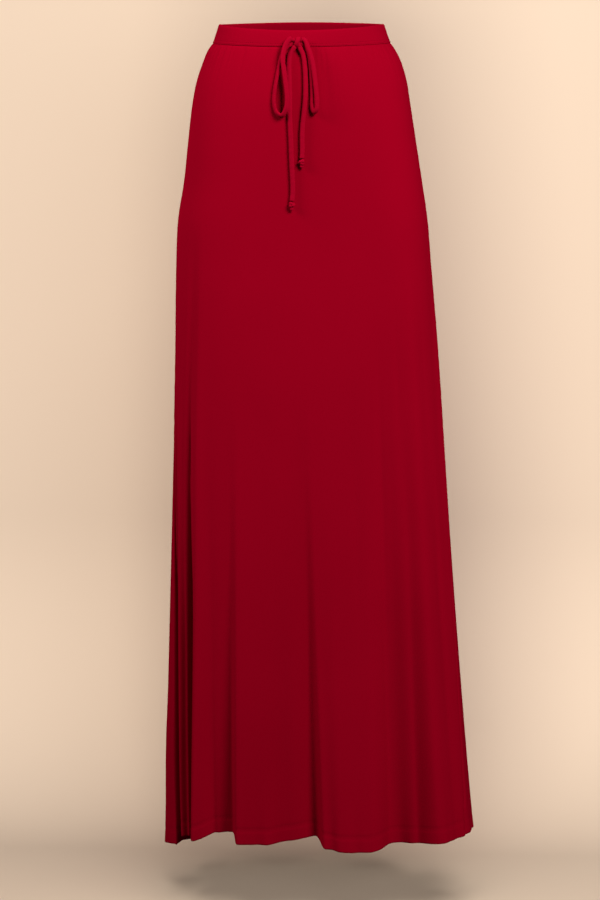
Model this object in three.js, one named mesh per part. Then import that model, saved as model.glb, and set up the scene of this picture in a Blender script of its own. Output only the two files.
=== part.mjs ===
// A maxi skirt of soft jersey, as worn, with a drawstring tied in a bow at the front of its waistband.
// Millimetres, +Z up, and the front faces -Y. The origin is the middle of the waist opening, level
// with the top of the waistband at the sides.

import * as THREE from 'three';

// Sizes of the cloth, the waistband and the drawstring
const wallThickness = 1.4;
const seamGap = 0.3;
const sideGap = 0.5;
const bandHeight = { sides: 24.4, front: 21, back: 25 };
const waistTop = { sides: 0, front: -10.4, back: 5 };
const hemLevel = -1070;
const cordDiameter = 5;
const cordSides = 8;
const cordStep = 11;
const bowKnot = { across: 13, deep: 9, tall: 11.5, x: 0, z: -25.5 };
const endKnot = { across: 8, deep: 7, tall: 9 };

// How finely each piece is divided
const panelColumns = 76;
const panelRows = 19;
const bandColumns = 76;

// The skirt's form without its folds: how far each side, the front and the back reach at a height
const sections = [
  { z: 8, left: 106, right: 106, front: 80, back: 83 },
  { z: 0, left: 107.4, right: 107.4, front: 82, back: 86 },
  { z: -12, left: 110.5, right: 110.5, front: 84, back: 90 },
  { z: -25, left: 116, right: 116.5, front: 87, back: 95 },
  { z: -35, left: 122.5, right: 123, front: 90, back: 101 },
  { z: -48, left: 128, right: 129.5, front: 93.5, back: 107 },
  { z: -72, left: 136.5, right: 137, front: 98, back: 115 },
  { z: -100, left: 142.3, right: 141.7, front: 101.5, back: 124 },
  { z: -150, left: 148.4, right: 149.4, front: 104, back: 134 },
  { z: -202, left: 154, right: 157.4, front: 105.5, back: 140 },
  { z: -255, left: 162.5, right: 165, front: 106.5, back: 141 },
  { z: -310, left: 165.2, right: 169.4, front: 107.5, back: 139 },
  { z: -413, left: 167.6, right: 177.2, front: 109.5, back: 137 },
  { z: -574, left: 170.6, right: 187.2, front: 111.5, back: 137.5 },
  { z: -763, left: 171.2, right: 198.6, front: 113.5, back: 139 },
  { z: -928, left: 170.6, right: 209, front: 115, back: 141 },
  { z: -1110, left: 168, right: 221.5, front: 116.5, back: 144 },
];

// How square a section is: 2 is an ellipse
const squareness = 2.3;

// The folds, counted in degrees from the left side, round by the front, the right side and the back.
// Each ridge or trough stands out, or slides along the cloth, by so much at the hem, where the hem
// hangs lower by its drop. It begins at the height from, and is fully grown at the height full.
const folds = [
  { at: 3, out: 2, slide: 9, drop: 28, from: -640, full: -1070 },
  { at: 14, out: -26, slide: -26, drop: 8, from: -300, full: -860 },
  { at: 22, out: -9, slide: -2, drop: 0, from: -420, full: -1070 },
  { at: 27, out: 1, slide: 0, drop: 4, from: -300, full: -650 },
  { at: 33, out: -6, slide: -4, drop: 3, from: -250, full: -760 },
  { at: 38, out: -18, slide: -10, drop: 0, from: -250, full: -760 },
  { at: 43.5, out: 7, slide: -3, drop: 2, from: -640, full: -1070 },
  { at: 52, out: -15, slide: 0, drop: -9, from: -500, full: -1070 },
  { at: 60.5, out: -27, slide: 1, drop: -11, from: -480, full: -1070 },
  { at: 65, out: 1, slide: 1, drop: 0, from: -480, full: -1070 },
  { at: 77, out: -4, slide: 0, drop: 0, from: -480, full: -1070 },
  { at: 86, out: -12, slide: 5, drop: -5, from: -600, full: -1070 },
  { at: 92.5, out: -25, slide: 16, drop: -10, from: -480, full: -1070 },
  { at: 96.5, out: 10, slide: 16, drop: 2, from: -500, full: -1070 },
  { at: 106, out: 14, slide: 7, drop: 4, from: -480, full: -1070 },
  { at: 116, out: 16, slide: 0, drop: 4, from: -480, full: -1070 },
  { at: 128, out: -18, slide: 0, drop: 1, from: -230, full: -1070 },
  { at: 136, out: -3, slide: 0, drop: 1, from: -260, full: -1070 },
  { at: 143, out: 20, slide: 0, drop: 0, from: -280, full: -1070 },
  { at: 152, out: 15, slide: 0, drop: 0, from: -420, full: -1070 },
  { at: 163, out: 15, slide: 0, drop: -3, from: -420, full: -1070 },
  { at: 175, out: 14, slide: 0, drop: -2, from: -300, full: -1070 },
  { at: 189, out: -20, slide: 0, drop: -3, from: -520, full: -1070 },
  { at: 203, out: 18, slide: 0, drop: 2, from: -460, full: -1070 },
  { at: 218, out: -28, slide: 0, drop: -2, from: -560, full: -1070 },
  { at: 235, out: 22, slide: 0, drop: 2, from: -420, full: -1070 },
  { at: 249, out: -24, slide: 0, drop: -2, from: -640, full: -1070 },
  { at: 266, out: 15, slide: 0, drop: 3, from: -500, full: -1070 },
  { at: 281, out: -30, slide: 0, drop: 0, from: -520, full: -1070 },
  { at: 297, out: 21, slide: 0, drop: 6, from: -440, full: -1070 },
  { at: 311, out: -22, slide: 0, drop: 12, from: -600, full: -1070 },
  { at: 325, out: 17, slide: 0, drop: 22, from: -470, full: -1070 },
  { at: 339, out: -24, slide: 0, drop: 32, from: -540, full: -1070 },
  { at: 347, out: 12, slide: 0, drop: 38, from: -420, full: -1070 },
  { at: 353, out: 19, slide: 0, drop: 34, from: -440, full: -1070 },
];
const foldGrowth = 1.3;

// The side seams move forward towards the hem, in degrees
const leftSeam = { top: 0, hem: 10 };
const rightSeam = { top: 180, hem: 160 };

// The drawstring's four runs from the knot. Each row is a place on the front of the skirt: across
// it, its height, and how far the middle of the cord lies off the cloth.
const drawstring = {
  bow_loop_left: [
    { x: -7.1, z: -20.4, off: 6.6 },
    { x: -10.5, z: -22.8, off: 8 },
    { x: -14.9, z: -29.8, off: 8.6 },
    { x: -17.8, z: -45, off: 8.8 },
    { x: -15.6, z: -64, off: 8.8 },
    { x: -13.2, z: -81, off: 8.8 },
    { x: -11.8, z: -97, off: 8.8 },
    { x: -13.2, z: -110, off: 8.4 },
    { x: -18.6, z: -118, off: 6.6 },
    { x: -25.2, z: -114.5, off: 4.4 },
    { x: -29, z: -101, off: 3.1 },
    { x: -28, z: -85, off: 3.1 },
    { x: -25.2, z: -68.5, off: 3.1 },
    { x: -22.6, z: -55, off: 3.1 },
    { x: -19.4, z: -42, off: 3.1 },
    { x: -13.6, z: -32.6, off: 3.2 },
    { x: -8.4, z: -28.6, off: 3.6 },
  ],
  bow_loop_right: [
    { x: 8, z: -21.4, off: 6.6 },
    { x: 11, z: -25, off: 8 },
    { x: 14.2, z: -33, off: 8.6 },
    { x: 17.6, z: -42, off: 8.8 },
    { x: 20.8, z: -55, off: 8.8 },
    { x: 23.4, z: -72.5, off: 8.8 },
    { x: 25.2, z: -88.5, off: 8.8 },
    { x: 26.2, z: -101, off: 8.6 },
    { x: 25.6, z: -110, off: 7.8 },
    { x: 22.4, z: -113.6, off: 5.4 },
    { x: 19.6, z: -107, off: 3.6 },
    { x: 19.4, z: -92, off: 3.1 },
    { x: 18.6, z: -74, off: 3.1 },
    { x: 17, z: -56, off: 3.1 },
    { x: 14.6, z: -42, off: 3.1 },
    { x: 11.2, z: -33.4, off: 3.2 },
    { x: 8, z: -28.8, off: 3.6 },
  ],
  tail_long: [
    { x: -3.1, z: -31, off: 5 },
    { x: -6, z: -35.4, off: 4.4 },
    { x: -8.8, z: -41, off: 3.6 },
    { x: -10.1, z: -53, off: 3.1 },
    { x: -9.5, z: -73, off: 3.1 },
    { x: -8.8, z: -98, off: 3.1 },
    { x: -8.5, z: -122, off: 3.1 },
    { x: -7.3, z: -146, off: 3.1 },
    { x: -6.3, z: -174, off: 3.1 },
    { x: -5.2, z: -196, off: 3.1 },
    { x: -4.6, z: -214, off: 3.1 },
    { x: -5.6, z: -226.5, off: 3.6 },
  ],
  tail_short: [
    { x: 3, z: -31, off: 5 },
    { x: 5.2, z: -35.8, off: 4.4 },
    { x: 7.8, z: -41, off: 3.6 },
    { x: 9.8, z: -53, off: 3.1 },
    { x: 10.9, z: -69, off: 3.1 },
    { x: 11.2, z: -87, off: 3.1 },
    { x: 10.5, z: -103, off: 3.1 },
    { x: 9, z: -117, off: 3.1 },
    { x: 7.6, z: -132, off: 3.1 },
    { x: 7.2, z: -149, off: 3.1 },
    { x: 7.4, z: -162, off: 3.1 },
    { x: 7, z: -172.5, off: 3.6 },
  ],
};
const tailKnots = {
  tail_knot_long: { x: -6, z: -231.2, off: 4.1 },
  tail_knot_short: { x: 6.8, z: -177.2, off: 4.1 },
};

// One crimson jersey for the whole garment
const jersey = new THREE.MeshStandardMaterial({ color: 0x9b0020, roughness: 0.82, metalness: 0 });
const casing = new THREE.MeshStandardMaterial({ color: 0x980020, roughness: 0.8, metalness: 0 });
const tie = new THREE.MeshStandardMaterial({ color: 0xa20024, roughness: 0.78, metalness: 0 });

const degrees = THREE.MathUtils.degToRad;
const mix = THREE.MathUtils.lerp;

// A value between a table's rows, on a smooth curve through them
function between(rows, key, column, place) {
  let index = rows.findIndex((row) => row[key] <= place);
  index = index < 0 ? rows.length - 1 : Math.max(index, 1);
  const [above, below] = [rows[index - 1], rows[index]];
  const slope = (a, b) => (b[column] - a[column]) / (b[key] - a[key]);
  const straight = slope(above, below);
  const before = rows[index - 2] ? (slope(rows[index - 2], above) + straight) / 2 : straight;
  const after = rows[index + 1] ? (slope(below, rows[index + 1]) + straight) / 2 : straight;
  const span = below[key] - above[key];
  const t = THREE.MathUtils.clamp((place - above[key]) / span, 0, 1);
  const rise = below[column] - above[column];
  return above[column] + rise * t * t * (3 - 2 * t)
    + span * t * (1 - t) * (before * (1 - t) - after * t);
}

// A place on the section at this height, before the folds
function bodyPoint(angle, z) {
  const [c, s] = [Math.cos(degrees(angle)), Math.sin(degrees(angle))];
  const half = mix(between(sections, 'z', 'right', z), between(sections, 'z', 'left', z), (1 + c) / 2);
  const depth = mix(between(sections, 'z', 'back', z), between(sections, 'z', 'front', z), (1 + s) / 2);
  const swell = (Math.abs(c) ** squareness + Math.abs(s) ** squareness) ** (-1 / squareness);
  return new THREE.Vector2(-half * c * swell, -depth * s * swell);
}

// The fold's value at this angle, easing from each row to the next, all the way round
function foldValue(column, angle, z) {
  const turned = THREE.MathUtils.euclideanModulo(angle, 360);
  let next = folds.findIndex((row) => row.at > turned);
  next = next < 0 ? 0 : next;
  const rows = [folds.at(next - 1), folds[next]];
  const [start, end] = rows.map((row) => row.at);
  const span = THREE.MathUtils.euclideanModulo(end - start, 360);
  const t = THREE.MathUtils.euclideanModulo(turned - start, 360) / span;
  const [from, to] = rows.map((row) => {
    const grown = THREE.MathUtils.clamp((row.from - z) / (row.from - row.full), 0, 1.1);
    return row[column] * grown ** foldGrowth;
  });
  return mix(from, to, t * t * (3 - 2 * t));
}

const turnStep = 0.25;

// Along the curve and out of it, at this place of a curve round the body
function curveFrame(curve, angle, z) {
  const along = curve(angle + turnStep, z).sub(curve(angle - turnStep, z));
  const pace = along.length() / (2 * turnStep);
  along.normalize();
  return { along, out: new THREE.Vector2(along.y, -along.x), pace };
}

function foldedPoint(angle, z) {
  const { along, out } = curveFrame(bodyPoint, angle, z);
  return bodyPoint(angle, z)
    .addScaledVector(out, foldValue('out', angle, z))
    .addScaledVector(along, foldValue('slide', angle, z));
}

// A place in the cloth, so far out from its outer face
function clothPoint(angle, z, outward) {
  const { out } = curveFrame(foldedPoint, angle, z);
  const place = foldedPoint(angle, z).addScaledVector(out, outward);
  return new THREE.Vector3(place.x, place.y, z);
}

// Levels that differ between the sides, the front and the back
function levelRound(level, angle) {
  const s = Math.sin(degrees(angle));
  return mix(level.sides, s > 0 ? level.front : level.back, Math.abs(s) ** 1.6);
}
const topLevel = (angle) => levelRound(waistTop, angle);
const seamLevel = (angle) => topLevel(angle) - levelRound(bandHeight, angle);
const hemHeight = (angle) => hemLevel - foldValue('drop', angle, hemLevel);

// A closed wall from a box whose faces are bent to the cloth
function bentBox(columns, rows, place) {
  const wall = new THREE.BoxGeometry(1, 1, 1, columns, rows, 1);
  const corners = wall.attributes.position;
  for (let i = 0; i < corners.count; i += 1) {
    const point = place(corners.getX(i) + 0.5, 0.5 - corners.getY(i), corners.getZ(i) - 0.5);
    corners.setXYZ(i, point.x, point.y, point.z);
  }
  wall.computeVertexNormals();
  return wall;
}

// One panel between two side seams. Its rows lie closer together over the hip.
function panel(firstSeam, lastSeam) {
  return bentBox(panelColumns, panelRows, (across, down, through) => {
    const share = down ** 1.3;
    const first = mix(firstSeam.top, firstSeam.hem, share);
    const last = mix(lastSeam.top, lastSeam.hem, share);
    const plain = mix(first, last, across);
    const z = mix(seamLevel(plain) - seamGap, hemHeight(plain), share);
    const spare = sideGap / 2 / curveFrame(foldedPoint, plain, z).pace;
    const angle = mix(first + spare, last - spare, across);
    return clothPoint(angle, z, through * wallThickness);
  });
}

// The waistband: a soft casing, folded at the top and stitched at the foot. Its outline is given as
// how far each corner stands out, and its share of the way down.
const bandOutline = [
  { out: -2.5, down: 0.06 },
  { out: -2.1, down: 0 },
  { out: -0.3, down: 0 },
  { out: 0.4, down: 0.06 },
  { out: 0.8, down: 0.3 },
  { out: 0.8, down: 0.72 },
  { out: 0.3, down: 1 },
  { out: -2.1, down: 1 },
  { out: -2.5, down: 0.94 },
];

function waistband() {
  const spool = 10;
  const outline = bandOutline.map((row) => new THREE.Vector2(spool + row.out, -row.down));
  outline.push(outline[0].clone());
  outline.reverse();
  const ring = new THREE.LatheGeometry(outline, bandColumns);
  const corners = ring.attributes.position;
  for (let i = 0; i < corners.count; i += 1) {
    const [x, z] = [corners.getX(i), corners.getZ(i)];
    const angle = THREE.MathUtils.radToDeg(Math.atan2(x, z)) + 90;
    const height = mix(topLevel(angle), seamLevel(angle), -corners.getY(i));
    const point = clothPoint(angle, height, Math.hypot(x, z) - spool);
    corners.setXYZ(i, point.x, point.y, point.z);
  }
  return ring;
}

// The place of a row of the drawstring, in front of the cloth behind it
function frontPoint({ x, z, off }) {
  let angle = 90;
  for (let i = 0; i < 6; i += 1) {
    const here = foldedPoint(angle, z).x;
    const ahead = foldedPoint(angle + 1, z).x;
    angle += (x - here) / (ahead - here);
  }
  const cloth = foldedPoint(angle, z);
  return new THREE.Vector3(x, cloth.y - off, z);
}

function cordRun(rows) {
  const route = new THREE.CatmullRomCurve3(rows.map(frontPoint), false, 'centripetal');
  const section = new THREE.Shape();
  for (let side = 0; side < cordSides; side += 1) {
    const turn = (side / cordSides) * Math.PI * 2;
    const [x, y] = [Math.cos(turn), Math.sin(turn)].map((value) => (value * cordDiameter) / 2);
    if (side === 0) {
      section.moveTo(x, y);
    } else {
      section.lineTo(x, y);
    }
  }
  const steps = Math.ceil(route.getLength() / cordStep) + rows.length;
  return new THREE.ExtrudeGeometry(section, { steps, extrudePath: route, bevelEnabled: false });
}

function knot(size, around, down) {
  const ball = new THREE.SphereGeometry(0.5, around, down);
  ball.scale(size.across, size.deep, size.tall);
  return ball;
}

const skirt = new THREE.Group();

function add(name, geometry, material, place = new THREE.Vector3()) {
  const mesh = new THREE.Mesh(geometry, material);
  mesh.name = name;
  mesh.position.copy(place);
  skirt.add(mesh);
}

const nextLeftSeam = { top: leftSeam.top + 360, hem: leftSeam.hem + 360 };
add('waistband', waistband(), casing);
add('front_panel', panel(leftSeam, rightSeam), jersey);
add('back_panel', panel(rightSeam, nextLeftSeam), jersey);

const bandFront = 0.8;
const knotSeat = 0.5;
const knotOff = bandFront + knotSeat + bowKnot.deep / 2;
add('bow_knot', knot(bowKnot, 16, 10), tie, frontPoint({ x: bowKnot.x, z: bowKnot.z, off: knotOff }));
for (const [name, rows] of Object.entries(drawstring)) {
  add(name, cordRun(rows), tie);
}
for (const [name, place] of Object.entries(tailKnots)) {
  add(name, knot(endKnot, 12, 8), tie, frontPoint(place));
}

export default skirt;
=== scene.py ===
# A worn maxi skirt: crimson jersey in hanging folds, a soft waistband and a drawstring tied in a bow.
# The frame is in metres, +Z up, the front faces -Y and the origin is the middle of the waist opening.
# Sizes in the tables are millimetres unless a note says metres, and angles are degrees round the
# body from the left side, by the front at 90, the right side at 180 and the back at 270.
import math

import bmesh
import bpy
import numpy as np
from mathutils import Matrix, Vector


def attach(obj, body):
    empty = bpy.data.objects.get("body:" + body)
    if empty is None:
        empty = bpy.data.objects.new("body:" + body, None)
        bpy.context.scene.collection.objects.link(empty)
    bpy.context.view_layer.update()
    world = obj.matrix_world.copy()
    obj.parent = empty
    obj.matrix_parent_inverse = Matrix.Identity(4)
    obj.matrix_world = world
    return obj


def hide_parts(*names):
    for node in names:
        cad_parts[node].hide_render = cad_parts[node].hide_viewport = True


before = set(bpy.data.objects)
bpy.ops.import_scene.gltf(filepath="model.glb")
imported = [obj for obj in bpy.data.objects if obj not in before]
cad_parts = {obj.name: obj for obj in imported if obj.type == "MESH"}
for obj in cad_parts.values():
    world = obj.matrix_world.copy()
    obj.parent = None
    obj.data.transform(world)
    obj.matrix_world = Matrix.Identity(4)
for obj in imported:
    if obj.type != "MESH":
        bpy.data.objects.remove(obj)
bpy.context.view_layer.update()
mm = 0.001
print("frame loaded")

# The camera stands square to the front, a little to the right, and looks slightly down
cameraPlace = {
    "distance": 3500, "azimuth": 3.5, "height": -110, "tilt": 7.33, "aside": -2.1, "lens": 106, "sensor": 36,
}


def addCamera():
    turn = math.radians(cameraPlace["azimuth"])
    away = Vector((math.sin(turn), -math.cos(turn), 0))
    right = Vector((math.cos(turn), math.sin(turn), 0))
    data = bpy.data.cameras.new("camera")
    data.lens = cameraPlace["lens"]
    data.sensor_width = cameraPlace["sensor"]
    camera = bpy.data.objects.new("camera", data)
    camera.location = (away * cameraPlace["distance"] + right * cameraPlace["aside"]) * mm
    camera.location.z = cameraPlace["height"] * mm
    camera.rotation_euler = (math.radians(90 - cameraPlace["tilt"]), 0, turn)
    bpy.context.collection.objects.link(camera)
    bpy.context.scene.camera = camera


addCamera()

# The skirt's form without its folds: how far the sides, the front and the back reach at a height
sections = [
    {"z": 8, "left": 106, "right": 106, "front": 80, "back": 83},
    {"z": 0, "left": 107.4, "right": 107.4, "front": 82, "back": 86},
    {"z": -12, "left": 110.5, "right": 110.5, "front": 84, "back": 90},
    {"z": -25, "left": 116, "right": 116.5, "front": 87, "back": 95},
    {"z": -35, "left": 122.5, "right": 123, "front": 90, "back": 101},
    {"z": -48, "left": 128, "right": 129.5, "front": 93.5, "back": 107},
    {"z": -72, "left": 136.5, "right": 137, "front": 98, "back": 115},
    {"z": -100, "left": 142.3, "right": 141.7, "front": 101.5, "back": 124},
    {"z": -150, "left": 148.4, "right": 149.4, "front": 104, "back": 134},
    {"z": -202, "left": 154, "right": 157.4, "front": 105.5, "back": 140},
    {"z": -255, "left": 162.5, "right": 165, "front": 106.5, "back": 141},
    {"z": -310, "left": 165.2, "right": 169.4, "front": 107.5, "back": 139},
    {"z": -413, "left": 167.6, "right": 177.2, "front": 109.5, "back": 137},
    {"z": -574, "left": 170.6, "right": 187.2, "front": 111.5, "back": 137.5},
    {"z": -763, "left": 171.2, "right": 198.6, "front": 113.5, "back": 139},
    {"z": -928, "left": 170.6, "right": 209, "front": 115, "back": 141},
    {"z": -1110, "left": 168, "right": 221.5, "front": 116.5, "back": 144},
]

# The folds: how far each ridge or trough stands out and slides along the cloth at the hem, how much
# lower the hem hangs there, and the heights at which it begins and is full
folds = [
    {"at": 3, "out": 2, "slide": 9, "drop": 28, "from": -640, "full": -1070},
    {"at": 14, "out": -26, "slide": -26, "drop": 8, "from": -300, "full": -860},
    {"at": 22, "out": -9, "slide": -2, "drop": 0, "from": -420, "full": -1070},
    {"at": 27, "out": 1, "slide": 0, "drop": 4, "from": -300, "full": -650},
    {"at": 33, "out": -6, "slide": -4, "drop": 3, "from": -250, "full": -760},
    {"at": 38, "out": -18, "slide": -10, "drop": 0, "from": -250, "full": -760},
    {"at": 43.5, "out": 7, "slide": -3, "drop": 2, "from": -640, "full": -1070},
    {"at": 52, "out": -15, "slide": 0, "drop": -9, "from": -500, "full": -1070},
    {"at": 60.5, "out": -19, "slide": 1, "drop": -11, "from": -480, "full": -1070},
    {"at": 65, "out": 1, "slide": 1, "drop": 0, "from": -480, "full": -1070},
    {"at": 77, "out": -4, "slide": 0, "drop": 0, "from": -480, "full": -1070},
    {"at": 86, "out": -12, "slide": 5, "drop": -5, "from": -600, "full": -1070},
    {"at": 92.5, "out": -19, "slide": 16, "drop": -10, "from": -480, "full": -1070},
    {"at": 96.5, "out": 3, "slide": 16, "drop": 2, "from": -500, "full": -1070},
    {"at": 106, "out": 14, "slide": 7, "drop": 4, "from": -480, "full": -1070},
    {"at": 116, "out": 16, "slide": 0, "drop": 4, "from": -480, "full": -1070},
    {"at": 128, "out": -14, "slide": 0, "drop": 1, "from": -230, "full": -1070},
    {"at": 136, "out": -3, "slide": 0, "drop": 1, "from": -260, "full": -1070},
    {"at": 143, "out": 20, "slide": 0, "drop": 0, "from": -280, "full": -1070},
    {"at": 152, "out": 15, "slide": 0, "drop": 0, "from": -420, "full": -1070},
    {"at": 163, "out": 15, "slide": 0, "drop": -3, "from": -420, "full": -1070},
    {"at": 175, "out": 14, "slide": 0, "drop": -2, "from": -300, "full": -1070},
    {"at": 189, "out": -20, "slide": 0, "drop": -3, "from": -520, "full": -1070},
    {"at": 203, "out": 18, "slide": 0, "drop": 2, "from": -460, "full": -1070},
    {"at": 218, "out": -28, "slide": 0, "drop": -2, "from": -560, "full": -1070},
    {"at": 235, "out": 22, "slide": 0, "drop": 2, "from": -420, "full": -1070},
    {"at": 249, "out": -24, "slide": 0, "drop": -2, "from": -640, "full": -1070},
    {"at": 266, "out": 15, "slide": 0, "drop": 3, "from": -500, "full": -1070},
    {"at": 281, "out": -30, "slide": 0, "drop": 0, "from": -520, "full": -1070},
    {"at": 297, "out": 21, "slide": 0, "drop": 6, "from": -440, "full": -1070},
    {"at": 311, "out": -22, "slide": 0, "drop": 12, "from": -600, "full": -1070},
    {"at": 325, "out": 17, "slide": 0, "drop": 22, "from": -470, "full": -1070},
    {"at": 339, "out": -24, "slide": 0, "drop": 32, "from": -540, "full": -1070},
    {"at": 347, "out": 12, "slide": 0, "drop": 38, "from": -420, "full": -1070},
    {"at": 353, "out": 19, "slide": 0, "drop": 34, "from": -440, "full": -1070},
]
form = {"squareness": 2.3, "foldGrowth": 1.3, "foldMost": 1.1, "hemLevel": -1070, "turnStep": 0.25}
waistTop = {"sides": 0, "front": -10.4, "back": 5, "curve": 1.6}
bandHeight = {"sides": 24.4, "front": 21, "back": 25, "curve": 1.6}
seams = {"left": {"top": 0, "hem": 10}, "right": {"top": 180, "hem": 160}}
nextLeftSeam = {"top": 360, "hem": 370}

# Softer creases that lie on the folds, so far out and so many degrees wide: a lean moves one round
# the body on its way down, and one that fades dies away before its foot
creases = [
    {"at": 0, "top": -880, "foot": -1070, "out": 2.5, "wide": 7, "lean": 0, "fades": 1},
    {"at": 37, "top": -300, "foot": -900, "out": 4, "wide": 5, "lean": 0, "fades": 1},
    {"at": 44, "top": -240, "foot": -1070, "out": 1.6, "wide": 4, "lean": 0, "fades": 0},
    {"at": 84, "top": -560, "foot": -1070, "out": 1.4, "wide": 4, "lean": 2, "fades": 0},
    {"at": 113, "top": -420, "foot": -900, "out": -1.4, "wide": 2.4, "lean": 2, "fades": 1},
    {"at": 125, "top": -330, "foot": -1070, "out": -1.6, "wide": 1.6, "lean": 1, "fades": 0},
    {"at": 134, "top": -300, "foot": -700, "out": -1.4, "wide": 2, "lean": 1, "fades": 1},
    {"at": 154, "top": -520, "foot": -1070, "out": -2, "wide": 2.6, "lean": 0, "fades": 0},
    {"at": 180, "top": -25, "foot": -1070, "out": 2.6, "wide": 5, "lean": -20, "fades": 0},
    {"at": 197, "top": -380, "foot": -900, "out": -2.4, "wide": 4, "lean": -3, "fades": 1},
    {"at": 211, "top": -560, "foot": -1070, "out": 2.2, "wide": 4, "lean": 2, "fades": 0},
    {"at": 227, "top": -340, "foot": -840, "out": -2, "wide": 4, "lean": -2, "fades": 1},
    {"at": 243, "top": -500, "foot": -1070, "out": 2.4, "wide": 4, "lean": 0, "fades": 0},
    {"at": 258, "top": -360, "foot": -1000, "out": -2.6, "wide": 5, "lean": 3, "fades": 1},
    {"at": 273, "top": -600, "foot": -1070, "out": 2, "wide": 4, "lean": -2, "fades": 0},
    {"at": 289, "top": -420, "foot": -1070, "out": -2.2, "wide": 4, "lean": 3, "fades": 0},
    {"at": 304, "top": -330, "foot": -820, "out": -2.4, "wide": 5, "lean": 0, "fades": 1},
    {"at": 318, "top": -620, "foot": -1070, "out": 2.2, "wide": 3.4, "lean": -2, "fades": 0},
    {"at": 333, "top": -460, "foot": -1070, "out": -2, "wide": 3.4, "lean": 1, "fades": 0},
]

creaseGrowth = {"full": 0.45, "fading": 0.55}


def rowValue(rows, column, place):  # a table's column at these heights, on a smooth curve
    places = np.array([row["z"] for row in reversed(rows)], float)
    values = np.array([row[column] for row in reversed(rows)], float)
    place = np.clip(place, places[0], places[-1])
    after = np.clip(np.searchsorted(places, place), 1, len(places) - 1)
    before = after - 1
    straight = np.diff(values) / np.diff(places)
    slopes = np.concatenate([straight[:1], (straight[1:] + straight[:-1]) / 2, straight[-1:]])
    span = places[after] - places[before]
    t = (place - places[before]) / span
    rise = values[after] - values[before]
    bend = span * t * (1 - t) * (slopes[before] * (1 - t) - slopes[after] * t)
    return values[before] + rise * t * t * (3 - 2 * t) + bend


def ease(low, high, value):  # rises smoothly from 0 at low to 1 at high
    t = np.clip((value - low) / (high - low), 0, 1)
    return t * t * (3 - 2 * t)


def bodyPoint(angle, z):
    c = np.cos(np.radians(angle))
    s = np.sin(np.radians(angle))
    left = rowValue(sections, "left", z)
    right = rowValue(sections, "right", z)
    front = rowValue(sections, "front", z)
    back = rowValue(sections, "back", z)
    half = right + (left - right) * (1 + c) / 2
    depth = back + (front - back) * (1 + s) / 2
    power = form["squareness"]
    swell = (np.abs(c) ** power + np.abs(s) ** power) ** (-1 / power)
    return np.stack([-half * c * swell, -depth * s * swell], -1)


def foldValue(column, angle, z):  # eases from each fold's row to the next, all the way round
    starts = np.array([row["at"] for row in folds], float)
    amounts = np.array([row[column] for row in folds], float)
    tops = np.array([row["from"] for row in folds], float)
    feet = np.array([row["full"] for row in folds], float)
    turned = np.mod(angle, 360)
    after = np.searchsorted(starts, turned, side="right") % len(folds)
    before = after - 1
    span = np.mod(starts[after] - starts[before], 360)
    t = np.mod(turned - starts[before], 360) / span
    blend = t * t * (3 - 2 * t)

    def grown(index):
        share = np.clip((tops[index] - z) / (tops[index] - feet[index]), 0, form["foldMost"])
        return amounts[index] * share ** form["foldGrowth"]

    return grown(before) * (1 - blend) + grown(after) * blend


def curveFrame(curve, angle, z):  # along the curve and out of it
    along = curve(angle + form["turnStep"], z) - curve(angle - form["turnStep"], z)
    along /= np.linalg.norm(along, axis=-1, keepdims=True)
    return along, np.stack([along[..., 1], -along[..., 0]], -1)


def foldedPoint(angle, z):
    along, out = curveFrame(bodyPoint, angle, z)
    shift = foldValue("out", angle, z)[..., None] * out
    return bodyPoint(angle, z) + shift + foldValue("slide", angle, z)[..., None] * along


def clothPoint(angle, z, outward):  # metres, so far out from the cloth's outer face
    out = curveFrame(foldedPoint, angle, z)[1]
    place = foldedPoint(angle, z) + out * np.asarray(outward)[..., None]
    return np.concatenate([place, np.asarray(z)[..., None]], -1) * mm


def levelRound(level, angle):
    s = np.sin(np.radians(angle))
    end = np.where(s > 0, level["front"], level["back"])
    return level["sides"] + (end - level["sides"]) * np.abs(s) ** level["curve"]


def topLevel(angle):
    return levelRound(waistTop, angle)


def seamLevel(angle):
    return topLevel(angle) - levelRound(bandHeight, angle)


def hemHeight(angle):
    level = np.full_like(angle, form["hemLevel"], dtype=float)
    return level - foldValue("drop", angle, level)


def wander(value, pitches):  # an uneven wave, a sum of sines with these pitches
    total = np.zeros(value.shape)
    for index, pitch in enumerate(pitches):
        total += np.sin(value * 2 * math.pi / pitch + index * 1.9 + 0.7)
    return total / len(pitches)


def creaseValue(angle, z):
    total = np.zeros_like(angle)
    turned = np.mod(angle, 360)
    for row in creases:
        down = (row["top"] - z) / (row["top"] - row["foot"])
        aside = np.mod(turned - row["at"] - row["lean"] * down + 180, 360) - 180
        lost = row["fades"] * ease(creaseGrowth["fading"], 1, down)
        strength = ease(0, creaseGrowth["full"], down) * (1 - lost)
        total += row["out"] * strength * np.exp(-((aside / row["wide"]) ** 2))
    return total


def newObject(name, mesh, material, replaces=()):  # a finished piece that rides on the frame
    for face in mesh.faces:
        face.smooth = True
    data = bpy.data.meshes.new(name)
    mesh.to_mesh(data)
    mesh.free()
    piece = bpy.data.objects.new(name, data)
    bpy.context.collection.objects.link(piece)
    data.materials.append(material)
    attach(piece, "root")
    if replaces:
        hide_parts(*replaces)
    return piece


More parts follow.
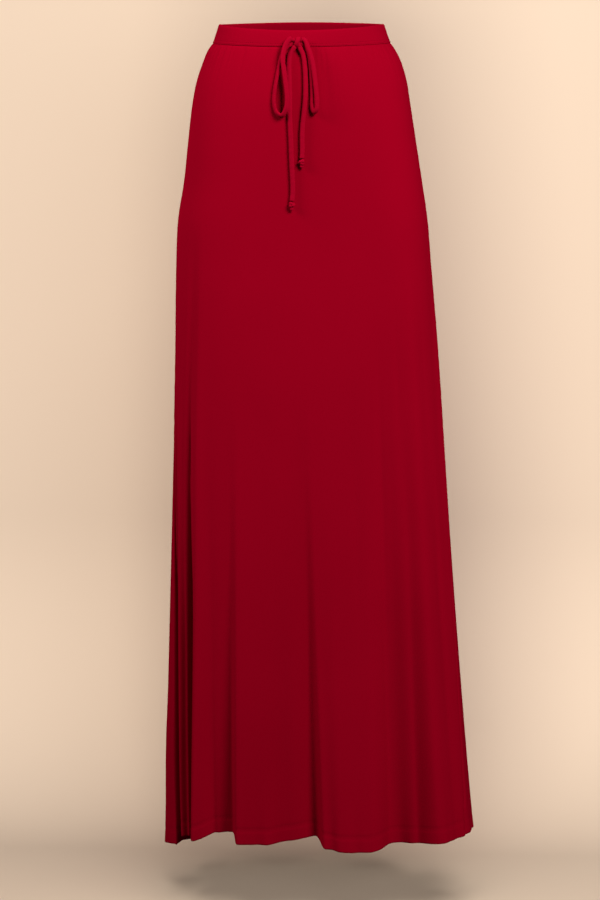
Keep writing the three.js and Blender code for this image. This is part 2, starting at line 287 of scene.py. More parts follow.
def mappedGrid(columns, rows, place):
    # place turns column and row numbers into points and the cloth's own coordinates
    grid = bmesh.new()
    layer = grid.loops.layers.uv.new("cloth")
    bmesh.ops.create_grid(grid, x_segments=columns, y_segments=rows, size=0.5)
    corners = np.array([vert.co[:2] for vert in grid.verts])
    column = np.rint((corners[:, 0] + 0.5) * columns).astype(int)
    row = np.rint((0.5 - corners[:, 1]) * rows).astype(int)
    points, flat = place(column, row)
    for vert, point in zip(grid.verts, points):
        vert.co = point
    for face in grid.faces:
        for loop in face.loops:
            loop[layer].uv = flat[loop.vert.index]
    return grid


# Shader groups that more than one cloth uses
def newGroup(name, inputs, outputs):
    group = bpy.data.node_groups.new(name, "ShaderNodeTree")
    for label, kind, value in inputs:
        socket = group.interface.new_socket(label, in_out="INPUT", socket_type=kind)
        if value is not None:
            socket.default_value = value
    for label, kind in outputs:
        group.interface.new_socket(label, in_out="OUTPUT", socket_type=kind)
    return group, group.nodes.new("NodeGroupInput"), group.nodes.new("NodeGroupOutput")


def mathNode(tree, operation, first, second=None, third=None):
    node = tree.nodes.new("ShaderNodeMath")
    node.operation = operation
    for socket, value in zip(node.inputs, (first, second, third)):
        if value is None:
            continue
        if isinstance(value, (int, float)):
            socket.default_value = value
        else:
            tree.links.new(value, socket)
    return node.outputs[0]


def jerseyKnitGroup():  # fine knit columns and rows, from the cloth's own coordinates in metres
    group, given, made = newGroup(
        "jersey knit",
        [
            ("Cloth", "NodeSocketVector", None),
            ("Column", "NodeSocketFloat", 0.0011),
            ("Row", "NodeSocketFloat", 0.0009),
        ],
        [("Height", "NodeSocketFloat"), ("Tone", "NodeSocketFloat")],
    )
    split = group.nodes.new("ShaderNodeSeparateXYZ")
    group.links.new(given.outputs["Cloth"], split.inputs[0])
    across = mathNode(group, "DIVIDE", split.outputs[0], given.outputs["Column"])
    down = mathNode(group, "DIVIDE", split.outputs[1], given.outputs["Row"])
    wave = mathNode(group, "SINE", mathNode(group, "MULTIPLY", across, math.pi))
    column = mathNode(group, "ABSOLUTE", wave)
    slant = mathNode(group, "ADD", mathNode(group, "MULTIPLY", column, 0.35), down)
    row = mathNode(group, "SINE", mathNode(group, "MULTIPLY", slant, 2 * math.pi))
    height = mathNode(group, "MULTIPLY_ADD", row, 0.22, mathNode(group, "POWER", column, 0.6))
    group.links.new(height, made.inputs["Height"])
    # The tone follows the knit's height, so the grooves between the columns come out darker: painted shade
    loops = mathNode(group, "MULTIPLY_ADD", row, 0.2, column)
    group.links.new(loops, made.inputs["Tone"])
    return group


def clothFibreGroup():  # soft unevenness of dye and pile, large and small
    group, given, made = newGroup(
        "cloth fibre",
        [
            ("Place", "NodeSocketVector", None),
            ("Broad", "NodeSocketFloat", 5.0),
            ("Fine", "NodeSocketFloat", 900.0),
        ],
        [("Tone", "NodeSocketFloat"), ("Pile", "NodeSocketFloat")],
    )
    broad = group.nodes.new("ShaderNodeTexNoise")
    broad.inputs["Detail"].default_value = 3
    fine = group.nodes.new("ShaderNodeTexNoise")
    fine.inputs["Detail"].default_value = 2
    for texture, size in ((broad, "Broad"), (fine, "Fine")):
        group.links.new(given.outputs["Place"], texture.inputs["Vector"])
        group.links.new(given.outputs[size], texture.inputs["Scale"])
    group.links.new(broad.outputs["Fac"], made.inputs["Tone"])
    group.links.new(fine.outputs["Fac"], made.inputs["Pile"])
    return group


jerseyKnit = jerseyKnitGroup()
clothFibre = clothFibreGroup()

# Dark is painted shade in the grooves between the knit columns and light is on them, with the dye and the
# pile mixed in too, and the knit is in metres
jerseyLook = {
    "dark": (0.27, 0.0002, 0.0095, 1), "light": (0.37, 0.0004, 0.0145, 1), "rough": 0.82,
    "sheen": 0.1, "sheenRough": 0.35, "sheenTint": (1, 0.002, 0.06, 1), "specular": 0,
    "column": 0.0011, "row": 0.0009, "bump": 0.22, "depth": 0.00012,
}
casingLook = dict(jerseyLook, dark=(0.26, 0.0002, 0.0095, 1), light=(0.36, 0.0004, 0.0145, 1))
tieLook = dict(jerseyLook, dark=(0.29, 0.0008, 0.012, 1), light=(0.4, 0.0016, 0.02, 1), bump=0.35)
threadLook = dict(jerseyLook, dark=(0.22, 0.0006, 0.01, 1), light=(0.3, 0.001, 0.014, 1), bump=0.1)
# How much the knit's painted shade in its grooves, the dye and the pile say in the colour, and the pile in
# the roughness and the bump
unevennessAndShade = {"knitShade": 0.3, "dyeTone": 0.5, "pileTone": 0.3, "pileRough": 0.1, "pileHeight": 0.5}


def clothMaterial(name, look):
    material = bpy.data.materials.new(name)
    material.use_nodes = True
    tree = material.node_tree
    shader = tree.nodes["Principled BSDF"]
    shader.inputs["Sheen Weight"].default_value = look["sheen"]
    shader.inputs["Sheen Roughness"].default_value = look["sheenRough"]
    shader.inputs["Sheen Tint"].default_value = look["sheenTint"]
    shader.inputs["Specular IOR Level"].default_value = look["specular"]
    where = tree.nodes.new("ShaderNodeTexCoord")
    knit = tree.nodes.new("ShaderNodeGroup")
    knit.node_tree = jerseyKnit
    knit.inputs["Column"].default_value = look["column"]
    knit.inputs["Row"].default_value = look["row"]
    tree.links.new(where.outputs["UV"], knit.inputs["Cloth"])
    fibre = tree.nodes.new("ShaderNodeGroup")
    fibre.node_tree = clothFibre
    tree.links.new(where.outputs["Object"], fibre.inputs["Place"])
    # The knit's share darkens the colour between its columns: painted shade; the dye and the pile add random
    # tone
    tone = mathNode(tree, "MULTIPLY", knit.outputs["Tone"], unevennessAndShade["knitShade"])
    tone = mathNode(tree, "MULTIPLY_ADD", fibre.outputs["Tone"], unevennessAndShade["dyeTone"], tone)
    tone = mathNode(tree, "MULTIPLY_ADD", fibre.outputs["Pile"], unevennessAndShade["pileTone"], tone)
    colour = tree.nodes.new("ShaderNodeMix")
    colour.data_type = "RGBA"
    colour.inputs["A"].default_value = look["dark"]
    colour.inputs["B"].default_value = look["light"]
    tree.links.new(tone, colour.inputs["Factor"])
    tree.links.new(colour.outputs["Result"], shader.inputs["Base Color"])
    pileRough = unevennessAndShade["pileRough"]
    rough = mathNode(tree, "MULTIPLY_ADD", fibre.outputs["Pile"], pileRough, look["rough"] - pileRough / 2)
    tree.links.new(rough, shader.inputs["Roughness"])
    pileHeight = unevennessAndShade["pileHeight"]
    height = mathNode(tree, "MULTIPLY_ADD", fibre.outputs["Pile"], pileHeight, knit.outputs["Height"])
    bump = tree.nodes.new("ShaderNodeBump")
    bump.inputs["Strength"].default_value = look["bump"]
    bump.inputs["Distance"].default_value = look["depth"]
    tree.links.new(height, bump.inputs["Height"])
    tree.links.new(bump.outputs["Normal"], shader.inputs["Normal"])
    return material


jerseyCloth = clothMaterial("crimson jersey", jerseyLook)
casingCloth = clothMaterial("waistband jersey", casingLook)
tieCloth = clothMaterial("turned jersey tube", tieLook)
sewingThread = clothMaterial("crimson thread", threadLook)
print("cloth materials made")

# A panel is one cloth from the waistband's seam to the hem, round the hem's fold and up its turn.
# Its rows and columns lie closer together at its edges, where the seams roll it in.
panelCut = {
    "columns": 264, "rows": 164, "wall": 0.8, "foldRadius": 0.85,
    "length": 1050, "width": 400,  # about what a panel measures, which spaces its rows and columns
    "edgeSteps": (0, 0.5, 1.2, 2.2, 3.6, 5.5), "crowding": 1.12,
    "footSteps": (36, 32, 28, 25, 22, 20.4, 19, 17.6, 16, 13, 10, 7, 4.5, 2.5, 1.2),
    "bends": (30, 60, 90, 120, 150, 180), "liftSteps": (2, 5, 9, 13, 17, 20),
    "waist": 0.31, "hem": 0.78,  # metres across the cloth's own pattern
}
# How far a place is from the side seams, in millimetres for each degree of the panel
sideSpan = {"perDegree": 2.3, "atTop": 0.75, "growth": 0.5}
seamRoll = {"top": 0.9, "topWidth": 1.1, "side": 1.5, "sideWidth": 2}
gathers = {"depth": 0.9, "reach": 26, "start": 5, "perDegree": 2.1, "pitches": (11.3, 7.9, 17.1, 5.6)}
hemWave = {"depth": 1.5, "reach": 34, "pitches": (9.7, 6.1, 14.3)}
hemStitch = {"above": (17.6, 20.4), "groove": 0.28, "width": 1.1}
seamPucker = {"depth": 0.35, "reach": 7, "pitches": (13, 19, 31)}


def panelRowsTable():
    # Each row is a share of the way to the hem, how far above the hem, and how far inside the cloth
    radius = panelCut["foldRadius"]
    length = panelCut["length"]
    edge = [step / length for step in panelCut["edgeSteps"]]
    foot = panelCut["footSteps"]
    bends = panelCut["bends"]
    lifts = panelCut["liftSteps"]
    count = panelCut["rows"] + 1 - len(edge) - len(foot) - len(bends) - len(lifts)
    even = np.arange(1, count + 1) / (count + 1)
    body = edge[-1] + (1 - foot[0] / length - edge[-1]) * even ** panelCut["crowding"]
    rows = [(share, 0, 0) for share in edge]
    rows += [(share, 0, 0) for share in body]
    rows += [(1, step, 0) for step in foot]
    rows += [
        (1, -radius * math.sin(math.radians(bend)), radius * (1 - math.cos(math.radians(bend))))
        for bend in bends
    ]
    rows += [(1, lift, 2 * radius) for lift in lifts]
    return np.array(rows, float)


def panelColumnsTable():
    edge = np.array(panelCut["edgeSteps"]) / panelCut["width"]
    count = panelCut["columns"] + 1 - 2 * len(edge)
    middle = edge[-1] + (1 - 2 * edge[-1]) * np.arange(1, count + 1) / (count + 1)
    return np.concatenate([edge, middle, 1 - edge[::-1]])


def clothRelief(angle, z, fromTop, fromSide, fromHem):
    # How far the finer drape stands out, from places on a panel and distances to its edges
    relief = creaseValue(angle, z)
    girth = angle * gathers["perDegree"]
    relief -= seamRoll["top"] * np.exp(-((fromTop / seamRoll["topWidth"]) ** 2))
    relief -= seamRoll["side"] * np.exp(-((fromSide / seamRoll["sideWidth"]) ** 2))
    gathered = gathers["depth"] * wander(girth, gathers["pitches"])
    relief += gathered * np.exp(-fromTop / gathers["reach"]) * ease(0, gathers["start"], fromTop)
    relief += hemWave["depth"] * wander(angle, hemWave["pitches"]) * np.exp(-fromHem / hemWave["reach"])
    pucker = seamPucker["depth"] * wander(z, seamPucker["pitches"])
    relief += pucker * np.exp(-((fromSide / seamPucker["reach"]) ** 2))
    for above in hemStitch["above"]:
        relief -= hemStitch["groove"] * np.exp(-(((fromHem - above) / hemStitch["width"]) ** 2))
    return relief


def addPanel(name, firstSeam, lastSeam, solidName):
    rowShares = panelRowsTable()
    columnShares = panelColumnsTable()

    def place(column, row):
        share, lift, inward = rowShares[row].T
        across = columnShares[column]
        first = firstSeam["top"] + (firstSeam["hem"] - firstSeam["top"]) * share
        last = lastSeam["top"] + (lastSeam["hem"] - lastSeam["top"]) * share
        angle = first + (last - first) * across
        top = seamLevel(angle)
        hem = hemHeight(angle)
        z = top + (hem - top) * share
        fromTop = top - z
        wide = (last - first) * sideSpan["perDegree"] * (sideSpan["atTop"] + sideSpan["growth"] * share)
        fromSide = np.minimum(across, 1 - across) * wide
        fromHem = np.abs(z - hem + lift)
        relief = clothRelief(angle, z + lift, fromTop, fromSide, fromHem)
        points = clothPoint(angle, z + lift, relief - inward)
        width = panelCut["waist"] + (panelCut["hem"] - panelCut["waist"]) * share
        down = fromTop * mm - lift * mm + inward * mm
        return points, np.stack([(across - 0.5) * width, -down], -1)

    cloth = mappedGrid(panelCut["columns"], panelCut["rows"], place)
    panel = newObject(name, cloth, jerseyCloth, [solidName])
    wall = panel.modifiers.new("wall", "SOLIDIFY")
    wall.thickness = panelCut["wall"] * mm
    wall.offset = -1
    return panel


frontPanel = addPanel("skirt_front", seams["left"], seams["right"], "front_panel")
backPanel = addPanel("skirt_back", seams["right"], nextLeftSeam, "back_panel")
print("panels made")

# The waistband: a casing folded over elastic, with two rows of stitches at its foot
band = {
    "steps": 420, "spool": 10, "ripple": 0.22, "pitches": (3.1, 4.3, 2.3), "middle": 0.55, "reach": 0.33,
    "flat": (0.66, 0.027), "perDegree": 0.0018, "tall": 0.025,  # metres
}
# The casing's outline: millimetres out from the cloth, and shares of the band's height
bandOutline = [
    {"out": -2.5, "down": 0.5},
    {"out": -2.5, "down": 0.12},
    {"out": -2.2, "down": 0.03},
    {"out": -1.4, "down": -0.005},
    {"out": -0.5, "down": 0},
    {"out": 0.2, "down": 0.035},
    {"out": 0.6, "down": 0.12},
    {"out": 0.85, "down": 0.28},
    {"out": 0.9, "down": 0.45},
    {"out": 0.85, "down": 0.6},
    {"out": 0.7, "down": 0.72},
    {"out": 0.35, "down": 0.8},
    {"out": 0.5, "down": 0.86},
    {"out": 0.3, "down": 0.915},
    {"out": 0.4, "down": 0.96},
    {"out": 0.1, "down": 0.99},
    {"out": -0.5, "down": 1.005},
    {"out": -1.6, "down": 1.0},
    {"out": -2.3, "down": 0.96},
    {"out": -2.5, "down": 0.85},
]


def addWaistband():
    # Spun round a spool, and then laid on the form
    spool = band["spool"]
    ring = bmesh.new()
    layer = ring.loops.layers.uv.new("cloth")
    corners = [ring.verts.new((spool + row["out"], 0, -row["down"])) for row in bandOutline]
    edges = [ring.edges.new((one, other)) for one, other in zip(corners, corners[1:] + corners[:1])]
    bmesh.ops.spin(
        ring, geom=corners + edges, cent=(0, 0, 0), axis=(0, 0, 1), angle=2 * math.pi,
        steps=band["steps"], use_merge=True,
    )
    bmesh.ops.recalc_face_normals(ring, faces=ring.faces)
    flat = np.array([vert.co[:] for vert in ring.verts])
    angle = np.mod(np.degrees(np.arctan2(flat[:, 1], flat[:, 0])) - 180, 360)
    out = np.hypot(flat[:, 0], flat[:, 1]) - spool
    down = -flat[:, 2]
    top = topLevel(angle)
    z = top + (seamLevel(angle) - top) * down
    onFace = np.exp(-(((down - band["middle"]) / band["reach"]) ** 2)) * (out > 0)
    out += band["ripple"] * wander(angle, band["pitches"]) * onFace
    for vert, point in zip(ring.verts, clothPoint(angle, z, out)):
        vert.co = point
    for face in ring.faces:
        turns = [angle[loop.vert.index] for loop in face.loops]
        wraps = max(turns) - min(turns) > 180
        for loop, turn in zip(face.loops, turns):
            unwound = turn + 360 if wraps and turn < 180 else turn
            loop[layer].uv = (unwound * band["perDegree"], -down[loop.vert.index] * band["tall"])
    return newObject("waist_casing", ring, casingCloth, ["waistband"])


waistCasing = addWaistband()
print("waistband made")

# The drawstring's four runs: across the front, the height, and how far the cord's middle lies off
# the cloth. The places are those of the solids.
drawstring = {
    "bow_loop_left": [
        (-7.1, -20.4, 6.6), (-10.5, -22.8, 8), (-14.9, -29.8, 8.6), (-17.8, -45, 8.8), (-15.6, -64, 8.8),
        (-13.2, -81, 8.8), (-11.8, -97, 8.8), (-13.2, -110, 8.4), (-18.6, -118, 6.6), (-25.2, -114.5, 4.4),
        (-29, -101, 3.1), (-28, -85, 3.1), (-25.2, -68.5, 3.1), (-22.6, -55, 3.1), (-19.4, -42, 3.1),
        (-13.6, -32.6, 3.2), (-8.4, -28.6, 3.6),
    ],
    "bow_loop_right": [
        (8, -21.4, 6.6), (11, -25, 8), (14.2, -33, 8.6), (17.6, -42, 8.8), (20.8, -55, 8.8),
        (23.4, -72.5, 8.8), (25.2, -88.5, 8.8), (26.2, -101, 8.6), (25.6, -110, 7.8), (22.4, -113.6, 5.4),
        (19.6, -107, 3.6), (19.4, -92, 3.1), (18.6, -74, 3.1), (17, -56, 3.1), (14.6, -42, 3.1),
        (11.2, -33.4, 3.2), (8, -28.8, 3.6),
    ],
    "tail_long": [
        (-3.1, -31, 5), (-6, -35.4, 4.4), (-8.8, -41, 3.6), (-10.1, -53, 3.1), (-9.5, -73, 3.1),
        (-8.8, -98, 3.1), (-8.5, -122, 3.1), (-7.3, -146, 3.1), (-6.3, -174, 3.1), (-5.2, -196, 3.1),
        (-4.6, -214, 3.1), (-5.6, -226.5, 3.6),
    ],
    "tail_short": [
        (3, -31, 5), (5.2, -35.8, 4.4), (7.8, -41, 3.6), (9.8, -53, 3.1), (10.9, -69, 3.1),
        (11.2, -87, 3.1), (10.5, -103, 3.1), (9, -117, 3.1), (7.6, -132, 3.1), (7.2, -149, 3.1),
        (7.4, -162, 3.1), (7, -172.5, 3.6),
    ],
}
tie = {
    "wide": 6.2, "thick": 4.2, "sides": 18, "step": 1.4, "uneven": 0.05, "pitches": (7.3, 11.9, 4.7),
    "round": 2.4,  # times its width
}


def frontPoint(x, z, off):  # metres, in front of the cloth at this place
    angle = np.array([90.0])
    level = np.array([float(z)])
    for _ in range(8):
        here = foldedPoint(angle, level)[:, 0]
        ahead = foldedPoint(angle + 1, level)[:, 0]
        angle = angle + (x - here) / (ahead - here)
    return Vector((x, foldedPoint(angle, level)[0, 1] - off, z)) * mm


def smoothRoute(points, step):  # evenly spaced points on a smooth curve through the route
    points = np.array(points, float)
    lengths = np.concatenate([[0], np.cumsum(np.linalg.norm(np.diff(points, axis=0), axis=1) ** 0.5)])
    slopes = np.gradient(points, lengths, axis=0)
    fine = np.linspace(0, lengths[-1], 60 * len(points))
    before = np.clip(np.searchsorted(lengths, fine) - 1, 0, len(points) - 2)
    span = (lengths[before + 1] - lengths[before])[:, None]
    t = (fine - lengths[before])[:, None] / span
    curve = points[before] * (2 * t**3 - 3 * t**2 + 1) + points[before + 1] * (3 * t**2 - 2 * t**3)
    curve += span * (slopes[before] * (t**3 - 2 * t**2 + t) + slopes[before + 1] * (t**3 - t**2))
    run = np.concatenate([[0], np.cumsum(np.linalg.norm(np.diff(curve, axis=0), axis=1))])
    count = max(2, int(round(run[-1] / step)))
    even = np.linspace(0, run[-1], count + 1)
    return np.stack([np.interp(even, run, curve[:, axis]) for axis in range(3)], -1)


def tubeMesh(path, wide, thick, sides, facing, uneven=0, closed=False, swell=None):
    # A soft flattened tube: wide lies across facing, and swell is its size at each point
    count = len(path)
    along = np.roll(path, -1, 0) - np.roll(path, 1, 0)
    if not closed:
        along[0] = path[1] - path[0]
        along[-1] = path[-1] - path[-2]
    along /= np.linalg.norm(along, axis=1, keepdims=True)
    depth = np.array(facing, float)
    depths = []
    for direction in along:
        depth = depth - direction * (depth @ direction)
        depth /= np.linalg.norm(depth)
        depths.append(depth)
    depths = np.array(depths)
    across = np.cross(along, depths)
    swell = np.ones(count) if swell is None else np.asarray(swell)
    index = np.arange(count)
    swell = swell * (1 + uneven * wander(index, tie["pitches"]))
    run = np.concatenate([[0], np.cumsum(np.linalg.norm(np.diff(path, axis=0), axis=1))])

    def place(column, row):
        turn = (column / sides * 2 * math.pi)[:, None]
        line = row % count
        spread = np.cos(turn) * across[line] * wide / 2 + np.sin(turn) * depths[line] * thick / 2
        points = path[line] + spread * swell[line][:, None]
        return points, np.stack([column / sides * wide * tie["round"], -run[line]], -1)

    tube = mappedGrid(sides, count if closed else count - 1, place)
    bmesh.ops.remove_doubles(tube, verts=tube.verts, dist=1e-6)
    if not closed:
        ends = [edge for edge in tube.edges if edge.is_boundary]
        bmesh.ops.holes_fill(tube, edges=ends, sides=sides + 1)
    bmesh.ops.recalc_face_normals(tube, faces=tube.faces)
    return tube


front = (0, -1, 0)


def joinTube(whole, part):  # adds one tube to a piece
    spare = bpy.data.meshes.new("part")
    part.to_mesh(spare)
    part.free()
    whole.from_mesh(spare)
    bpy.data.meshes.remove(spare)


def addCords():
    cords = {}
    for name, rows in drawstring.items():
        route = [frontPoint(*row) for row in rows]
        path = smoothRoute(route, tie["step"] * mm)
        tube = tubeMesh(path, tie["wide"] * mm, tie["thick"] * mm, tie["sides"], front, tie["uneven"])
        cords[name] = (newObject("tie_" + name, tube, tieCloth, [name]), path)
    return cords


cords = addCords()

# Each tail ends in a tiny overhand knot with a stub of cord below it
tailKnots = {
    "tail_knot_long": {"x": -6, "z": -231.2, "off": 4.1, "turn": 20},
    "tail_knot_short": {"x": 6.8, "z": -177.2, "off": 4.1, "turn": -35},
}
overhand = {
    "size": 0.85, "deep": 1.2, "wide": 4, "thick": 3.6, "points": 96, "sides": 12, "uneven": 0.04,
    "stub": 3.4, "below": 3, "bend": 0.4, "stubWide": 4.6, "stubThick": 2.8, "stubUneven": 0.05, "step": 0.8,
}


def addTailKnot(name, spot):
    centre = frontPoint(spot["x"], spot["z"], spot["off"])
    turn = np.linspace(0, 2 * math.pi, overhand["points"], endpoint=False)
    size = overhand["size"] * mm
    lean = math.radians(spot["turn"])
    x = (np.sin(turn) + 2 * np.sin(2 * turn)) * size
    z = (np.cos(turn) - 2 * np.cos(2 * turn)) * size
    y = -np.sin(3 * turn) * size * overhand["deep"]
    turned = [x * math.cos(lean) + z * math.sin(lean), y, z * math.cos(lean) - x * math.sin(lean)]
    path = np.stack(turned, -1) + np.array(centre)
    wide = overhand["wide"] * mm
    thick = overhand["thick"] * mm
    tube = tubeMesh(path, wide, thick, overhand["sides"], front, overhand["uneven"], True)
    low = centre + Vector((0, 0, -(overhand["below"] + overhand["stub"]) * mm))
    middle = (centre + low) / 2 + Vector((overhand["bend"] * mm, 0, 0))
    stubPath = smoothRoute([centre, middle, low], overhand["step"] * mm)
    wide = overhand["stubWide"] * mm
    thick = overhand["stubThick"] * mm
    joinTube(tube, tubeMesh(stubPath, wide, thick, overhand["sides"], front, overhand["stubUneven"]))
    return newObject("tie_" + name, tube, tieCloth, [name])


endKnots = {name: addTailKnot(name, spot) for name, spot in tailKnots.items()}

# The bow's knot: one turn of the cord drawn tight over the roots of the loops and the tails
bow = {
    "x": 0, "z": -25.5, "off": 5.6, "high": 5.4, "deep": 3.6, "wide": 6.4, "thick": 3.2, "turns": 64,
    "lean": 0.32, "sides": 16, "rootSides": 14, "uneven": 0.03, "step": 0.8, "pinch": 0.25, "pinchReach": 1.8,
}
bowRoots = [
    {
        "path": [(-8.6, -21.6, 6.8), (-4, -23.2, 6.2), (0, -24.4, 5.4), (4, -23.4, 6.2), (8.8, -22, 6.8)],
        "wide": 5.6,
    },
    {
        "path": [(-9.2, -28.9, 3.4), (-4, -27.4, 4), (0, -26.8, 4.2), (4, -27.4, 4), (8.8, -29, 3.4)],
        "wide": 5.4,
    },
    {
        "path": [(-4.4, -33, 4.6), (-1.8, -28.8, 5), (0, -26, 5), (1.8, -28.6, 5), (4.2, -33, 4.6)],
        "wide": 5,
    },
]


def addBowKnot():
    centre = np.array(frontPoint(bow["x"], bow["z"], bow["off"]))
    turn = np.linspace(0, 2 * math.pi, bow["turns"], endpoint=False)
    lean = bow["lean"]
    high = np.cos(turn) * bow["high"] * mm
    deep = -np.sin(turn) * bow["deep"] * mm
    path = centre + np.stack([high * math.sin(lean), deep, high * math.cos(lean)], -1)
    up = (0, 0, 1)
    knot = tubeMesh(path, bow["wide"] * mm, bow["thick"] * mm, bow["sides"], up, bow["uneven"], True)
    for root in bowRoots:
        route = smoothRoute([frontPoint(*row) for row in root["path"]], bow["step"] * mm)
        along = np.linspace(-bow["pinchReach"], bow["pinchReach"], len(route))
        pinch = 1 - bow["pinch"] * np.exp(-(along**2))
        wide = root["wide"] * mm
        thick = tie["thick"] * mm
        part = tubeMesh(route, wide, thick, bow["rootSides"], front, bow["uneven"], False, pinch)
        joinTube(knot, part)
    return newObject("tie_bow_knot", knot, tieCloth, ["bow_knot"])


bowKnot = addBowKnot()
print("drawstring made")

# Stitches: rows of small threads that lie on the cloth
stitch = {
    "length": 2.3, "gap": 0.7, "wide": 0.42, "thick": 0.34, "sides": 6,
    "along": (0, 0.25, 0.5, 0.75, 1), "out": (-0.25, 0.12, 0.2, 0.12, -0.25), "size": (0.5, 1, 1, 1, 0.5),
}


def stitchRow(name, points, outwards, material):
    # Threads along a line of points on the cloth, sunk at both ends of each
    run = np.concatenate([[0], np.cumsum(np.linalg.norm(np.diff(points, axis=0), axis=1))])
    pitch = (stitch["length"] + stitch["gap"]) * mm
    rows = bmesh.new()
    rows.loops.layers.uv.new("cloth")
    starts = np.arange(0, run[-1] - pitch, pitch)
    for start in starts:
        ends = start + np.array(stitch["along"]) * stitch["length"] * mm
        middle = np.stack([np.interp(ends, run, points[:, axis]) for axis in range(3)], -1)
        out = np.array([np.interp(start, run, outwards[:, axis]) for axis in range(3)])
        out /= np.linalg.norm(out)
        middle += out * np.array(stitch["out"])[:, None] * mm
        along = middle[-1] - middle[0]
        along /= np.linalg.norm(along)
        side = np.cross(along, out)
        rings = []
        for spot, size in zip(middle, stitch["size"]):
            ring = []
            for step in range(stitch["sides"]):
                turn = step / stitch["sides"] * 2 * math.pi
                spread = side * math.cos(turn) * stitch["wide"] + out * math.sin(turn) * stitch["thick"]
                ring.append(rows.verts.new(spot + spread * size * mm / 2))
            rings.append([rows.edges.new((one, other)) for one, other in zip(ring, ring[1:] + ring[:1])])
        for one, other in zip(rings, rings[1:]):
            bmesh.ops.bridge_loops(rows, edges=one + other)
        bmesh.ops.holes_fill(rows, edges=rings[0] + rings[-1], sides=stitch["sides"])
    bmesh.ops.recalc_face_normals(rows, faces=rows.faces)
    return newObject(name, rows, material)


def roundLine(down, outward):  # a line right round the band, and the way out at its points
    angle = np.linspace(0, 360, 2400)
    z = topLevel(angle) * (1 - down) + seamLevel(angle) * down
    line = clothPoint(angle, z, np.full_like(angle, outward))
    over = clothPoint(angle, z, np.full_like(angle, outward + 1))
    return line, over - line


bandStitch = {"down": (0.8, 0.915), "out": 0.42}  # shares of the band's height, and millimetres


def addStitches():
    threads = []
    for number, down in enumerate(bandStitch["down"], 1):
        points, outwards = roundLine(down, bandStitch["out"])
        threads.append(stitchRow(f"waist_stitches_{number}", points, outwards, sewingThread))
    return threads


threads = addStitches()
print("stitches made")

# The stage: a pale sweep of floor and wall, and soft studio light
stage = {
    "floor": -1165, "near": -2500, "wall": 190, "reach": 4500, "high": 3200, "bend": 420, "steps": 12,
    "colour": (0.78, 0.63, 0.5, 1), "rough": 0.9,
}
# The skirt's own lamps, in metres and watts
lights = [
    {
        "name": "key", "at": (1.34, -1.72, 1.15), "to": (0, 0, -0.1),
        "size": 1.1, "power": 73, "tint": (1, 0.98, 0.95),
    },
    {
        "name": "back", "at": (0, 3.2, 0.7), "to": (0, 0, -0.4),
        "size": 1.4, "power": 90, "tint": (1, 0.98, 0.96),
    },
    {
        "name": "fill", "at": (-1.9, -0.62, 1.1), "to": (0, 0, 0.1),
        "size": 1.2, "power": 48, "tint": (1, 0.98, 0.96),
    },
]
# These light the wall and the floor alone
stageLights = [
    {
        "name": "wall", "at": (0.95, -3.2, -0.3), "to": (0.1, 0.6, -0.7),
        "size": 2.6, "power": 47, "tint": (1, 0.985, 1),
    },
    {
        "name": "floor", "at": (0.3, -0.9, 1.9), "to": (0, 0.2, -1.165),
        "size": 2.6, "power": 66, "tint": (1, 0.95, 0.88),
    },
    {
        "name": "low", "at": (-0.1, -2.8, -0.6), "to": (0, 0.1, -1.165),
        "size": 1.4, "power": 60, "tint": (1, 0.93, 0.82),
    },
]
skyLight = {"colour": (1.0, 0.965, 0.93, 1), "strength": 0.05}


def clearBehind(tree):  # nothing of the wall is seen from behind or below
    side = tree.nodes.new("ShaderNodeNewGeometry")
    clear = tree.nodes.new("ShaderNodeBsdfTransparent")
    mix = tree.nodes.new("ShaderNodeMixShader")
    tree.links.new(side.outputs["Backfacing"], mix.inputs["Fac"])
    tree.links.new(tree.nodes["Principled BSDF"].outputs[0], mix.inputs[1])
    tree.links.new(clear.outputs[0], mix.inputs[2])
    tree.links.new(mix.outputs[0], tree.nodes["Material Output"].inputs["Surface"])


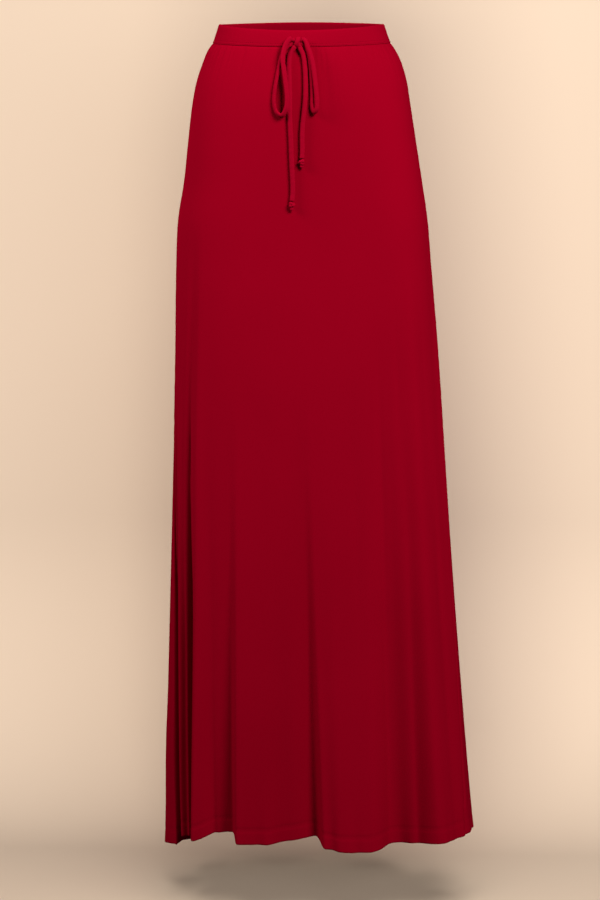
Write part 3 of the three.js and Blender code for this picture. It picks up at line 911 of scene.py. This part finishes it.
def addStage():
    sweep = bmesh.new()
    bend = stage["bend"]
    spots = [(stage["near"], stage["floor"])]
    for step in range(stage["steps"] + 1):
        turn = math.radians(90 * step / stage["steps"])
        spots.append((stage["wall"] + math.sin(turn) * bend, stage["floor"] + (1 - math.cos(turn)) * bend))
    spots.append((stage["wall"] + bend, stage["high"]))
    line = [sweep.verts.new((-stage["reach"] * mm, y * mm, z * mm)) for y, z in spots]
    edges = [sweep.edges.new((one, other)) for one, other in zip(line, line[1:])]
    drawn = bmesh.ops.extrude_edge_only(sweep, edges=edges)
    moved = [item for item in drawn["geom"] if isinstance(item, bmesh.types.BMVert)]
    bmesh.ops.translate(sweep, verts=moved, vec=(2 * stage["reach"] * mm, 0, 0))
    bmesh.ops.recalc_face_normals(sweep, faces=sweep.faces)
    if sum(face.normal.z for face in sweep.faces) < 0:
        bmesh.ops.reverse_faces(sweep, faces=sweep.faces)
    for face in sweep.faces:
        face.smooth = True
    data = bpy.data.meshes.new("sweep")
    sweep.to_mesh(data)
    sweep.free()
    backdrop = bpy.data.objects.new("sweep", data)
    bpy.context.collection.objects.link(backdrop)
    paint = bpy.data.materials.new("pale wall")
    paint.use_nodes = True
    shader = paint.node_tree.nodes["Principled BSDF"]
    shader.inputs["Base Color"].default_value = stage["colour"]
    shader.inputs["Roughness"].default_value = stage["rough"]
    clearBehind(paint.node_tree)
    data.materials.append(paint)
    backdrop.visible_diffuse = False  # it throws no light and no shadow on the skirt
    backdrop.visible_shadow = False
    return backdrop


def addLights(backdrop):
    # The wall and the floor have lamps of their own, and the skirt's lamps leave them out
    stageOnly = bpy.data.collections.new("stage only")
    stageOnly.objects.link(backdrop)
    skirtOnly = bpy.data.collections.new("skirt only")
    skirtOnly.objects.link(backdrop)
    skirtOnly.collection_objects[0].light_linking.link_state = "EXCLUDE"
    for light in lights + stageLights:
        data = bpy.data.lights.new(light["name"], "AREA")
        data.shape = "DISK"
        data.size = light["size"]
        data.energy = light["power"]
        data.color = light["tint"]
        lamp = bpy.data.objects.new(light["name"], data)
        lamp.location = light["at"]
        aim = Vector(light["to"]) - Vector(light["at"])
        lamp.rotation_euler = aim.to_track_quat("-Z", "Y").to_euler()
        bpy.context.collection.objects.link(lamp)
        lamp.light_linking.receiver_collection = stageOnly if light in stageLights else skirtOnly
    world = bpy.data.worlds.new("studio")
    world.use_nodes = True
    sky = world.node_tree.nodes["Background"]
    sky.inputs["Color"].default_value = skyLight["colour"]
    sky.inputs["Strength"].default_value = skyLight["strength"]
    bpy.context.scene.world = world
    bpy.context.scene.view_settings.view_transform = "Standard"


addLights(addStage())
print("stage and lights set")
